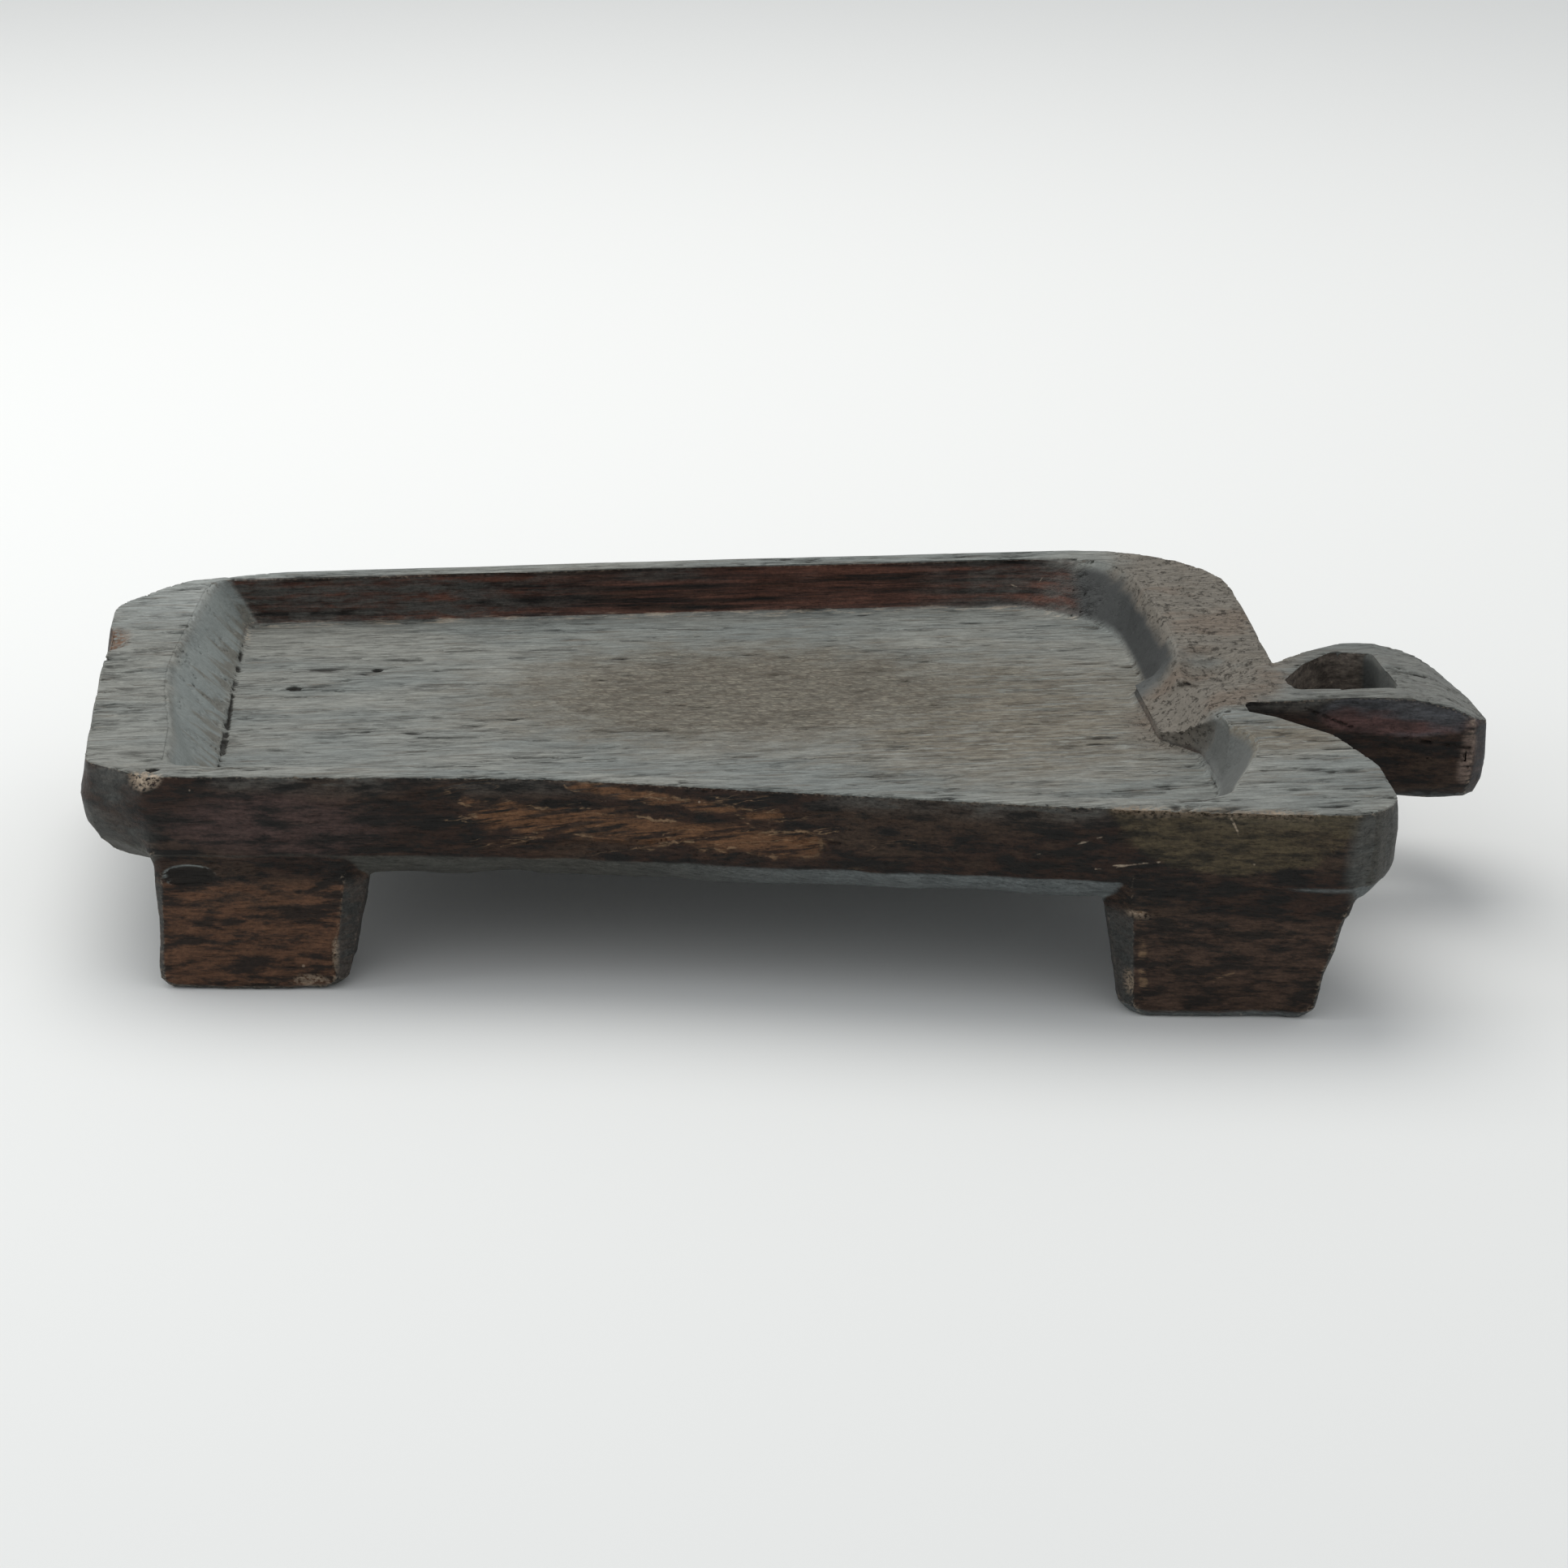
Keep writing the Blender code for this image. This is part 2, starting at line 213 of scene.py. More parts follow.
def placeLights(settings):
    world = bpy.data.worlds.new("paleRoom")
    world.use_nodes = True
    background = world.node_tree.nodes["Background"]
    background.inputs["Color"].default_value = (*settings["sky"]["colour"], 1.0)
    background.inputs["Strength"].default_value = settings["sky"]["strength"]
    bpy.context.scene.world = world
    bpy.context.scene.view_settings.view_transform = "Standard"
    for name in ("overhead", "window"):
        lamp = settings[name]
        data = bpy.data.lights.new(name, "AREA")
        data.shape = "DISK"
        data.size = lamp["size"]
        data.energy = lamp["power"]
        data.color = lamp["colour"]
        light = bpy.data.objects.new(name, data)
        light.location = lamp["from"]
        towards = Vector((0, 0, rimTop)) - light.location
        light.rotation_euler = towards.to_track_quat("-Z", "Y").to_euler()
        bpy.context.scene.collection.objects.link(light)


floorSetup = {"reach": 9.0, "colour": (0.80, 0.80, 0.79), "roughness": 0.9}


def layFloor(settings):
    mesh = bpy.data.meshes.new("floor")
    shape = bmesh.new()
    bmesh.ops.create_grid(shape, x_segments=1, y_segments=1, size=settings["reach"])
    shape.to_mesh(mesh)
    shape.free()
    floor = bpy.data.objects.new("floor", mesh)
    bpy.context.scene.collection.objects.link(floor)
    paint = bpy.data.materials.new("palePaper")
    paint.use_nodes = True
    shader = paint.node_tree.nodes["Principled BSDF"]
    shader.inputs["Base Color"].default_value = (*settings["colour"], 1.0)
    shader.inputs["Roughness"].default_value = settings["roughness"]
    mesh.materials.append(paint)


placeCamera(cameraSetup)
placeLights(lightSetup)
layFloor(floorSetup)
print("camera, lights and floor placed")


# The block: the six regions run into one another, as one piece of wood

# rootReach lets a foot's top and the grip's root run into the body;
# ridgeRounds is how far a corner's worn and sheltered sides are felt
blockSetup = {"voxel": 0.00125, "rootReach": 0.004, "weld": 1e-5, "smoothing": 2, "smoothShare": 0.5,
              "ridgeRounds": 14, "facingRounds": 2, "ridgeScale": 1000, "triangles": 236000}


def fusedBlock(settings):
    whole = bmesh.new()
    for name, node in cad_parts.items():
        region = bmesh.new()
        region.from_mesh(node.data)
        bmesh.ops.remove_doubles(region, verts=region.verts, dist=settings["weld"])
        low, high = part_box(name)
        for vertex in region.verts:
            if name.startswith("foot_") and vertex.co.z > high.z - settings["weld"]:
                vertex.co.z += settings["rootReach"]
            if name == "handle" and vertex.co.x < low.x + settings["weld"]:
                vertex.co.x -= settings["rootReach"]
        loose = bpy.data.meshes.new(name + "Copy")
        region.to_mesh(loose)
        region.free()
        whole.from_mesh(loose)
        bpy.data.meshes.remove(loose)
    mesh = bpy.data.meshes.new("block")
    whole.to_mesh(mesh)
    whole.free()
    block = bpy.data.objects.new("block", mesh)
    bpy.context.scene.collection.objects.link(block)
    remesh = block.modifiers.new("fuse", "REMESH")
    remesh.mode = "VOXEL"
    remesh.voxel_size = settings["voxel"]
    soften = block.modifiers.new("soften", "SMOOTH")
    soften.factor = settings["smoothShare"]
    soften.iterations = settings["smoothing"]
    return applied(block)


def applied(obj):
    graph = bpy.context.evaluated_depsgraph_get()
    result = bpy.data.meshes.new_from_object(obj.evaluated_get(graph))
    obj.modifiers.clear()
    old = obj.data
    obj.data = result
    bpy.data.meshes.remove(old)
    return obj


def readVectors(items, field, count):
    values = np.empty(count * 3, np.float32)
    items.foreach_get(field, values)
    return values.reshape(-1, 3)


def spreadOut(values, edges, rounds):
    # averages each point with its neighbours, several times over
    count = len(values)
    degree = np.bincount(edges.ravel(), minlength=count)
    for _ in range(rounds):
        total = [np.bincount(edges[:, 0], values[edges[:, 1], axis], count)
                 + np.bincount(edges[:, 1], values[edges[:, 0], axis], count)
                 for axis in range(values.shape[1])]
        values = (values + np.stack(total, 1) / degree[:, None]) / 2
    return values


def markSurface(block, settings):
    # up: how level the surface is; aside: how far it faces the grip's end;
    # ridge: above 0 on outer corners, below 0 in inner ones
    mesh = block.data
    count = len(mesh.vertices)
    points = readVectors(mesh.vertices, "co", count)
    normals = readVectors(mesh.vertex_normals, "vector", count)
    edges = np.empty(len(mesh.edges) * 2, np.int32)
    mesh.edges.foreach_get("vertices", edges)
    edges = edges.reshape(-1, 2)
    evened = spreadOut(points, edges, settings["ridgeRounds"])
    ridge = ((points - evened) * normals).sum(1) * settings["ridgeScale"]
    facing = spreadOut(normals, edges, settings["facingRounds"])
    facing /= np.linalg.norm(facing, axis=1)[:, None]
    for name, values in (("up", facing[:, 2]), ("ridge", ridge), ("aside", facing[:, 0])):
        attribute = mesh.attributes.new(name, "FLOAT", "POINT")
        attribute.data.foreach_set("value", values.astype(np.float32))


block = fusedBlock(blockSetup)
markSurface(block, blockSetup)
print("block fused:", len(block.data.vertices), "points")


# Where things are on the block, in metres

wellDepth = 0.024
wellFloor = rimTop - wellDepth
pittedRim = {"centre": (0.222, 0.110, rimTop), "reach": (0.046, 0.112, 0.012)}
tongue = {"centre": (0.196, -0.016, rimTop - 0.012), "reach": (0.040, 0.042, 0.030)}
wornPatch = {"centre": (-0.012, 0.052, wellFloor), "reach": (0.115, 0.070, 0.012)}
wornTrail = {"centre": (0.100, 0.010, wellFloor), "reach": (0.085, 0.080, 0.012)}
tornSide = {"centre": (-0.062, -0.132, 0.079), "reach": (0.125, 0.040, 0.018)}
oliveScoop = {"centre": (0.176, -0.190, rimTop), "reach": (0.054, 0.040, 0.030)}
gripHollow = {"centre": (0.280, -0.050, 0.0895), "reach": (0.038, 0.020, 0.0105)}
slotWalls = {"centre": (0.260, -0.004, rimTop - 0.012), "reach": (0.030, 0.030, 0.026)}
cornerFacets = {"centre": (0.238, -0.190, 0.075), "reach": (0.016, 0.024, 0.030)}
edgeNotch = {"centre": (-0.3210, 0.088, rimTop), "reach": (0.0120, 0.019, 0.012)}
cornerChip = {"centre": (-0.2905, -0.1060, rimTop - 0.001), "reach": (0.0100, 0.0060, 0.0060)}
cornerHole = {"centre": (-0.2835, -0.0985, rimTop), "reach": (0.0026, 0.0022, 0.0050)}
wormHole = {"centre": (-0.2295, 0.0790, wellFloor), "reach": (0.0032, 0.0030, 0.0060)}
smallHole = {"centre": (-0.1898, 0.1043, wellFloor), "reach": (0.0022, 0.0018, 0.0040)}
crumbs = [{"centre": (0.1342, -0.1830, rimTop), "reach": (0.0060, 0.0034, 0.0034)},
          {"centre": (0.1500, -0.1860, rimTop), "reach": (0.0070, 0.0030, 0.0030)},
          {"centre": (0.1680, -0.1890, rimTop), "reach": (0.0080, 0.0030, 0.0034)},
          {"centre": (0.1896, -0.1925, rimTop), "reach": (0.0085, 0.0032, 0.0034)}]
footChips = [{"centre": (-0.2068, -0.1180, 0.0150), "reach": (0.0018, 0.0090, 0.0080)},
             {"centre": (-0.2180, -0.1200, 0.0045), "reach": (0.0070, 0.0090, 0.0028)},
             {"centre": (0.1370, -0.1800, 0.0480), "reach": (0.0070, 0.0060, 0.0022)},
             {"centre": (0.1330, -0.1790, 0.0160), "reach": (0.0022, 0.0060, 0.0060)}]
shoulderSlump = {"centre": (0.2010, 0.0070, rimTop), "reach": (0.0150, 0.0190, 0.0300)}
plumPatch = {"centre": (-0.232, -0.108, 0.074), "reach": (0.048, 0.030, 0.014)}
skySheenCorner = {"centre": (-0.285, 0.170, rimTop), "reach": (0.055, 0.055, 0.020)}
lobeStreak = {"centre": (0.206, -0.098, rimTop), "reach": (0.036, 0.022, 0.010)}
gripTop = {"centre": (0.275, -0.010, rimTop), "reach": (0.070, 0.060, 0.030)}
knot = {"centre": (-0.2700, -0.1060, 0.0502), "reach": (0.0112, 0.0200, 0.0046)}

# Lines that run over the surface: start, end, width and how far they wander
wallCracks = [
    ((-0.2568, 0.174, wellFloor), (-0.2596, -0.078, wellFloor), 0.0013, 0.0042),
    ((0.1760, -0.0320, wellFloor + 0.004), (0.1850, -0.0660, wellFloor + 0.002), 0.0010, 0.0020),
    ((0.1866, -0.0680, wellFloor), (0.1836, -0.1300, wellFloor), 0.0011, 0.0016),
    ((0.1702, 0.0360, wellFloor + 0.002), (0.1702, -0.0290, wellFloor + 0.002), 0.0012, 0.0022),
]
floorCracks = [
    ((-0.2430, 0.0780, wellFloor), (-0.2060, 0.0735, wellFloor), 0.0009, 0.0012),
    ((-0.2340, 0.0662, wellFloor), (-0.2190, 0.0648, wellFloor), 0.0008, 0.0010),
    ((-0.1700, 0.0020, wellFloor), (-0.1390, 0.0000, wellFloor), 0.0009, 0.0018),
    ((-0.1260, -0.0300, wellFloor), (-0.0960, -0.0320, wellFloor), 0.0009, 0.0018),
]
slopeCrease = ((-0.2860, 0.0560, rimTop), (-0.2600, 0.0170, wellFloor + 0.002), 0.0030, 0.0040)
rimFurrow = ((-0.3200, 0.0620, rimTop), (-0.2860, 0.0560, rimTop), 0.0034, 0.0050)
gripCracks = [
    ((0.2360, -0.0480, 0.0930), (0.2620, -0.0500, 0.0810), 0.0011, 0.0030),
    ((0.2620, -0.0500, 0.0810), (0.3120, -0.0560, 0.0740), 0.0010, 0.0030),
    ((0.2700, -0.0510, 0.0700), (0.3040, -0.0550, 0.0680), 0.0008, 0.0030),
]
gripArris = [((0.3130, -0.0550, 0.0900), (0.3095, -0.0555, 0.0600), 0.0052, 0.0060)]
crumblyEdge = ((0.1270, -0.1828, rimTop), (0.2050, -0.1965, rimTop), 0.0056, 0.0060)
footStreaks = [((0.1376, -0.1816, 0.0500), (0.1400, -0.1821, 0.0100), 0.0022, 0.0060),
               ((0.1560, -0.1850, 0.0200), (0.1900, -0.1890, 0.0140), 0.0006, 0.0040),
               ((0.1500, -0.1850, 0.0120), (0.1780, -0.1870, 0.0220), 0.0006, 0.0040)]
slotCrack = ((0.2784, 0.0160, rimTop), (0.2784, 0.0160, 0.0500), 0.0008, 0.0010)
rustStrokes = [
    ((-0.1394, -0.1190, 0.0790), (-0.0007, -0.1500, 0.0725), 0.0085, 0.0110),
    ((-0.1533, -0.1160, 0.0870), (-0.0836, -0.1316, 0.0770), 0.0034, 0.0060),
    ((-0.1041, -0.1270, 0.0945), (-0.0145, -0.1470, 0.0850), 0.0038, 0.0060),
]
splinterLean = 9.0
scratches = [
    ((0.0900, -0.1740, 0.0740), (0.1347, -0.1830, 0.0878), 0.0008, 0.0030),
    ((0.1732, -0.1885, 0.0946), (0.1842, -0.1905, 0.0729), 0.0007, 0.0020),
    ((0.1180, -0.1800, 0.0690), (0.1600, -0.1880, 0.0760), 0.0006, 0.0030),
    ((-0.1760, -0.1090, 0.0860), (-0.1560, -0.1140, 0.0830), 0.0007, 0.0030),
    ((-0.2080, -0.1050, 0.0690), (-0.1900, -0.1080, 0.0700), 0.0010, 0.0020),
]
wallScratches = [
    ((-0.0180, 0.1900, 0.0960), (-0.0150, 0.1860, 0.0860), 0.0006, 0.0012),
    ((0.0620, 0.1900, 0.0960), (0.0680, 0.1860, 0.0840), 0.0018, 0.0030),
    ((-0.0900, 0.1900, 0.0950), (-0.0780, 0.1880, 0.0900), 0.0007, 0.0012),
    ((0.1100, 0.1880, 0.0940), (0.1350, 0.1800, 0.0840), 0.0006, 0.0016),
    ((0.1550, 0.1860, 0.0950), (0.1400, 0.1740, 0.0800), 0.0006, 0.0016),
]


def zoneOf(place, spot, ragged=0.0, soft=0.35):
    return zone(place, spot["centre"], spot["reach"], ragged, soft)


def strongest(fields):
    result = fields[0]
    for field in fields[1:]:
        result = highest(result, field)
    return result


def linesOver(place, lines):
    return strongest([lineOver(place, *line) for line in lines])


def roughMask(place):
    return highest(zoneOf(place, pittedRim, 0.5, 0.2), zoneOf(place, tongue, 0.5, 0.2))


def ridgeLines(place, grain, width, low=0.45, high=0.60, gate=(0.030, 0.008, 0.008)):
    # thin broken lines where a stretched cloud passes through its middle value
    flow = cloud(place, grain, 3.0, 0.5)
    return ramp(abs(flow - 0.5), width, 0.0) * ramp(cloud(place, gate, 2.0), low, high)


def leaning(place):
    # tilts a pattern the way the torn side's splinters slant
    return turned(place, (0, 1, 0), splinterLean)


def tornStep(place):
    # long slanting splinters, each with its own number from 0 to 1
    return split(cells(leaning(place), (0.044, 0.060, 0.0058), "Color"))[0]


# How deep each kind of wear goes, in metres; the keys are the names of the tree's inputs
weathering = {"Grain Depth": 0.0006, "Pit Depth": 0.0008, "Adze Depth": 0.0013, "Flake Depth": 0.0020,
              "Crack Depth": 0.0014, "Scoop Depth": 0.0012, "Rim Wear": 0.0016, "Slump Depth": 0.0080,
              "Skin Depth": 0.0003}

# Sizes of the carving's blotches along X, Y and Z, then their detail and roughness
carvingClouds = {
    "drift": ((0.110, 0.050, 0.050), 2.0),
    "rimWaves": ((0.070, 0.0090, 0.0090), 4.0, 0.6),
    "pits": ((0.0050, 0.0040, 0.0040), 2.0, 0.6),
    "crumble": ((0.005, 0.003, 0.003), 3.0, 0.7),
}
carvingCells = {"adzeScoops": (0.030, 0.024, 0.026), "cornerFacets": (0.012, 0.016, 0.120)}


def carvingTree(settings, finish):
    tree = bpy.data.node_groups.new("weathering", "GeometryNodeTree")
    tree.interface.new_socket("Geometry", in_out="INPUT", socket_type="NodeSocketGeometry")
    for name in settings:
        tree.interface.new_socket(name, in_out="INPUT", socket_type="NodeSocketFloat")
    tree.interface.new_socket("Geometry", in_out="OUTPUT", socket_type="NodeSocketGeometry")
    given = tree.nodes.new("NodeGroupInput")
    depth = {name: Field(tree, given.outputs[name]) for name in settings}
    place = put(tree, "GeometryNodeInputPosition", {})
    normal = put(tree, "GeometryNodeInputNormal", {})
    up = put(tree, "GeometryNodeInputNamedAttribute", {"Name": "up"}, "Attribute", data_type="FLOAT")
    top = ramp(up, 0.55, 0.85)
    side = ramp(up, 0.60, 0.30)
    x, y, z = split(place)
    front = ramp(y, -0.09, -0.10) * side * ramp(up, -0.35, -0.10)
    pitted = roughMask(place) * top
    worn = zoneOf(place, wornPatch, 0.8, 0.5) * top

    # adze marks: flat scoops that meet on faint ridges, mostly on the sides
    scoops = cells(place, carvingCells["adzeScoops"])
    adze = depth["Adze Depth"] * (1.0 - ramp(scoops, 0.10, 0.75)) * (0.06 + side * 0.9)
    drift = ramp(cloud(place, *carvingClouds["drift"]), 0.45, 0.75) * depth["Adze Depth"] * (0.25 + side)
    facets = 1.0 - ramp(cells(place, carvingCells["cornerFacets"]), 0.10, 0.70)
    facets = facets * zoneOf(place, cornerFacets, 0.0, 0.5) * side
    hollows = highest(zoneOf(place, oliveScoop, 0.3, 0.05), zoneOf(place, gripHollow, 0.3, 0.12))
    hollows = hollows * side
    scooped = depth["Scoop Depth"] * (facets + hollows * 0.9)

    fineLines = ridgeLines(place, (0.060, 0.0030, 0.0030), 0.035)
    lines = (fineLines + ridgeLines(place, (0.150, 0.0070, 0.0070), 0.030)) * (1.0 - pitted * 0.8)
    rims = ramp(z, wellFloor + 0.016, rimTop - 0.003) * top
    leftRim = rims * ramp(x, -0.235, -0.255)
    grain = depth["Grain Depth"] * lines * (top * 0.55 + 0.35 + rims * 0.5)
    waves = depth["Rim Wear"] * leftRim * ramp(cloud(place, *carvingClouds["rimWaves"]), 0.42, 0.72)
    pits = ramp(cloud(place, *carvingClouds["pits"]), 0.48, 0.34)
    pits = pits * depth["Pit Depth"] * (pitted * 0.8 + worn * 0.2)
    crumble = cloud(place, *carvingClouds["crumble"]) * depth["Pit Depth"] * pitted * 0.7
    splintered = zoneOf(place, tornSide, 0.6, 0.4) * 0.85 + 0.15
    flakes = depth["Flake Depth"] * tornStep(place) * splintered * front

    cracks = linesOver(place, wallCracks + floorCracks) * top
    cracks = highest(cracks, linesOver(place, gripCracks + [slotCrack]) * side * 0.7)
    holes = strongest([zoneOf(place, spot, 0.2) for spot in (wormHole, smallHole, cornerHole)])
    furrows = linesOver(place, [slopeCrease, rimFurrow])
    missing = [edgeNotch, cornerChip] + crumbs + footChips
    chips = strongest([zoneOf(place, spot, 0.9, 0.3) for spot in missing])
    chips = highest(chips, lineOver(place, *crumblyEdge) * 0.9)
    scar = zoneOf(place, knot, 0.5, 0.2)
    cuts = depth["Crack Depth"] * (cracks + holes * 2.2 + furrows * 0.8 + chips * 1.2 + scar * 0.8)

    total = depth["Skin Depth"] + adze + drift + scooped + grain + waves + pits + crumble + flakes + cuts
    inward = put(tree, "ShaderNodeVectorMath", {0: normal, "Scale": total * -1.0}, operation="SCALE")
    slump = zoneOf(place, shoulderSlump, 0.0, 0.6) * depth["Slump Depth"]
    slump = slump * ramp(z, wellFloor + 0.008, rimTop)
    fall = put(tree, "ShaderNodeCombineXYZ", {"Z": slump * -1.0})
    offset = vector("ADD", inward, fall)

    # hollow: where dirt gathers; fresh: where the wood has broken away
    hollow = grain * (900.0 - leftRim * 250.0) + pits * 350.0 + cracks + holes * 2.0 + furrows * 0.25
    geometry = Field(tree, given.outputs["Geometry"])
    for name, value in (("hollow", hollow), ("fresh", chips)):
        values = {"Geometry": geometry, "Name": name, "Value": value}
        geometry = put(tree, "GeometryNodeStoreNamedAttribute", values, "Geometry",
                       data_type="FLOAT", domain="POINT")
    geometry = put(tree, "GeometryNodeSetPosition", {"Geometry": geometry, "Offset": offset}, "Geometry")
    geometry = put(tree, "GeometryNodeRealizeInstances", {"Geometry": geometry}, "Geometry")
    geometry = put(tree, "GeometryNodeSetMaterial", {"Geometry": geometry, "Material": finish}, "Geometry")
    result = tree.nodes.new("NodeGroupOutput")
    tree.links.new(geometry.socket, result.inputs["Geometry"])
    return tree


# The finish: one old hardwood, grey where hands and weather reach it and where a sky reflection is painted on
# the level faces, dark and oily on the sides

woodSetup = {
    "greyTopAndSheen": (0.208, 0.210, 0.190), "brownTop": (0.092, 0.074, 0.054), "slateTopAndSheen": (0.166, 0.178, 0.168),
    "patchTop": (0.170, 0.148, 0.110), "rough": (0.162, 0.143, 0.119), "roughRed": (0.150, 0.118, 0.092),
    "rimSkySheen": (0.290, 0.305, 0.292), "paleSheen": (0.200, 0.222, 0.214), "slopeBrown": (0.130, 0.122, 0.100),
    "frontFacet": (0.102, 0.106, 0.100), "backFacet": (0.038, 0.040, 0.039),
    "blackSide": (0.009, 0.008, 0.007), "redSide": (0.029, 0.015, 0.010), "umberSide": (0.043, 0.027, 0.018),
    "redWall": (0.118, 0.049, 0.033), "greySheen": (0.074, 0.076, 0.070), "plum": (0.068, 0.042, 0.038),
    "rust": (0.138, 0.067, 0.032), "rustDark": (0.046, 0.024, 0.014), "olive": (0.080, 0.063, 0.035),
    "gripRed": (0.105, 0.056, 0.052), "gripBlue": (0.078, 0.080, 0.088), "arris": (0.190, 0.140, 0.115),
    "slot": (0.170, 0.140, 0.115), "footBrownLit": (0.104, 0.050, 0.027), "footDark": (0.064, 0.038, 0.026),
    "footFlank": (0.052, 0.055, 0.052), "slate": (0.118, 0.132, 0.132), "bandDark": (0.064, 0.064, 0.056),
    "pale": (0.400, 0.320, 0.240), "tan": (0.270, 0.175, 0.100), "crumb": (0.260, 0.200, 0.145),
    "groove": (0.012, 0.010, 0.008),
    "gloss": 0.20, "roughness": 0.42, "relief": 0.8, "reliefHeight": 0.0009,
}

# Sizes of the finish's blotches along X, Y and Z, then their detail and roughness
woodClouds = {
    "streaks": ((0.034, 0.0032, 0.0032), 6.0, 0.66),
    "blotches": ((0.120, 0.045, 0.045), 3.0, 0.5),
    "dashes": ((0.0080, 0.0026, 0.0020), 4.0, 0.68),
    "downhill": ((0.030, 0.0070, 0.030), 5.0, 0.6),
    "redder": ((0.040, 0.030, 0.030),),
    "splinters": ((0.030, 0.012, 0.0024), 7.0, 0.66),
    "brokenOutline": ((0.012, 0.010, 0.003), 4.0, 0.6),
    "mottle": ((0.020, 0.010, 0.0046), 8.0, 0.70),
    "patches": ((0.080, 0.050, 0.030), 4.0, 0.55),
    "bands": ((0.120, 0.020, 0.0030), 7.0, 0.64),
    "brokenMarks": ((0.006, 0.006, 0.003),),
    "fine": ((0.0110, 0.0007, 0.0007), 4.0, 0.62),
    "fibre": ((0.0150, 0.0020, 0.0017), 5.0, 0.68),
    "grit": ((0.0018, 0.0013, 0.0013), 3.0, 0.6),
    "granule": ((0.0034, 0.0040, 0.0024), 4.0, 0.75),
    "raggedEdge": ((0.030, 0.004, 0.004),),
    "rare": ((0.030, 0.030, 0.030),),
}
woodCells = {"cornerFlats": (0.0100, 0.0130, 0.1200), "crackle": (0.0058, 0.0027, 0.0027),
             "flecks": (0.0140, 0.0140, 0.0140)}


def woodCloud(place, name):
    return cloud(place, *woodClouds[name])


def mixed(share, first, second):
    tree = share.tree
    values = {"Factor": share}
    for key, value in ((6, first), (7, second)):
        values[key] = value if isinstance(value, Field) else (*value, 1.0)
    return put(tree, "ShaderNodeMix", values, 2, data_type="RGBA")


def topColour(place, aside, wood):
    x, y, z = split(place)
    streaks = woodCloud(place, "streaks")
    blotches = woodCloud(place, "blotches")
    dashes = woodCloud(place, "dashes")
    # the grey and slate tops: weathered grey, partly a painted sheen of sky reflection
    colour = mixed(ramp(blotches, 0.38, 0.62), wood["greyTopAndSheen"], wood["slateTopAndSheen"])
    # painted reflection: a pale bluish sky sheen painted on the back left corner of the rim
    colour = mixed(zoneOf(place, skySheenCorner, 0.6, 0.5) * 0.62, colour, wood["rimSkySheen"])
    colour = mixed(ramp(streaks, 0.52, 0.70) * 0.70, colour, wood["brownTop"])
    patch = zoneOf(place, wornPatch, 0.9, 0.5)
    trail = highest(zoneOf(place, wornTrail, 1.0, 0.6), zoneOf(place, lobeStreak, 1.0, 0.6))
    brown = highest(patch * 0.85, trail * ramp(streaks, 0.34, 0.54) * 0.9)
    colour = mixed(brown, colour, wood["patchTop"])
    worn = highest(patch * 0.9, trail * 0.8) * ramp(dashes, 0.46, 0.57)
    colour = mixed(worn * 0.8, colour, wood["brownTop"])

    # the slopes down into the well: a painted bluish sky reflection at the left end, browner lower down, dark
    # facets by the grip
    inner = ramp(z, rimTop - 0.0015, rimTop - 0.006) * ramp(z, wellFloor - 0.001, wellFloor + 0.003)
    downhill = woodCloud(place, "downhill")
    brownerLowDown = ramp(downhill + (wellFloor + 0.010 - z) * 14.0, 0.50, 0.64)
    # painted reflection: the slope's bluish grey is a painted sky sheen, giving way to brown towards the
    # bottom
    slope = mixed(brownerLowDown * 0.85, wood["paleSheen"], wood["slopeBrown"])
    colour = mixed(inner * ramp(aside, 0.20, 0.45) * ramp(x, -0.22, -0.24) * 0.85, colour, slope)
    facet = mixed(ramp(y, 0.00, 0.05), wood["frontFacet"], wood["backFacet"])
    colour = mixed(inner * ramp(aside, -0.20, -0.45) * ramp(x, 0.10, 0.14), colour, facet)

    # painted sheen: a grey sheen painted over the grip's top
    colour = mixed(zoneOf(place, gripTop, 0.5, 0.2) * 0.40, colour, wood["greySheen"])
    rough = mixed(ramp(woodCloud(place, "redder"), 0.50, 0.66), wood["rough"], wood["roughRed"])
    return mixed(roughMask(place) * 0.9, colour, rough)


def frontColour(place, colour, wood):
    # the torn and rusty-looking part of the slanting side
    splinters = woodCloud(leaning(place), "splinters")
    strokes = linesOver(place, rustStrokes)
    torn = zoneOf(place, tornSide, 0.9, 0.5)
    lifted = torn * ramp(tornStep(place), 0.45, 0.75) * ramp(splinters, 0.44, 0.58)
    colour = mixed(lifted, colour, wood["rustDark"])
    colour = mixed(strokes * ramp(splinters, 0.40, 0.56) * 0.95, colour, wood["rust"])
    outline = ramp(abs(strokes - 0.45), 0.30, 0.05) * torn
    pale = outline * ramp(woodCloud(place, "brokenOutline"), 0.50, 0.62)
    fibres = torn * ridgeLines(leaning(place), (0.030, 0.020, 0.0042), 0.016, 0.52, 0.60)
    return mixed(highest(pale, fibres) * 0.65, colour, wood["tan"])


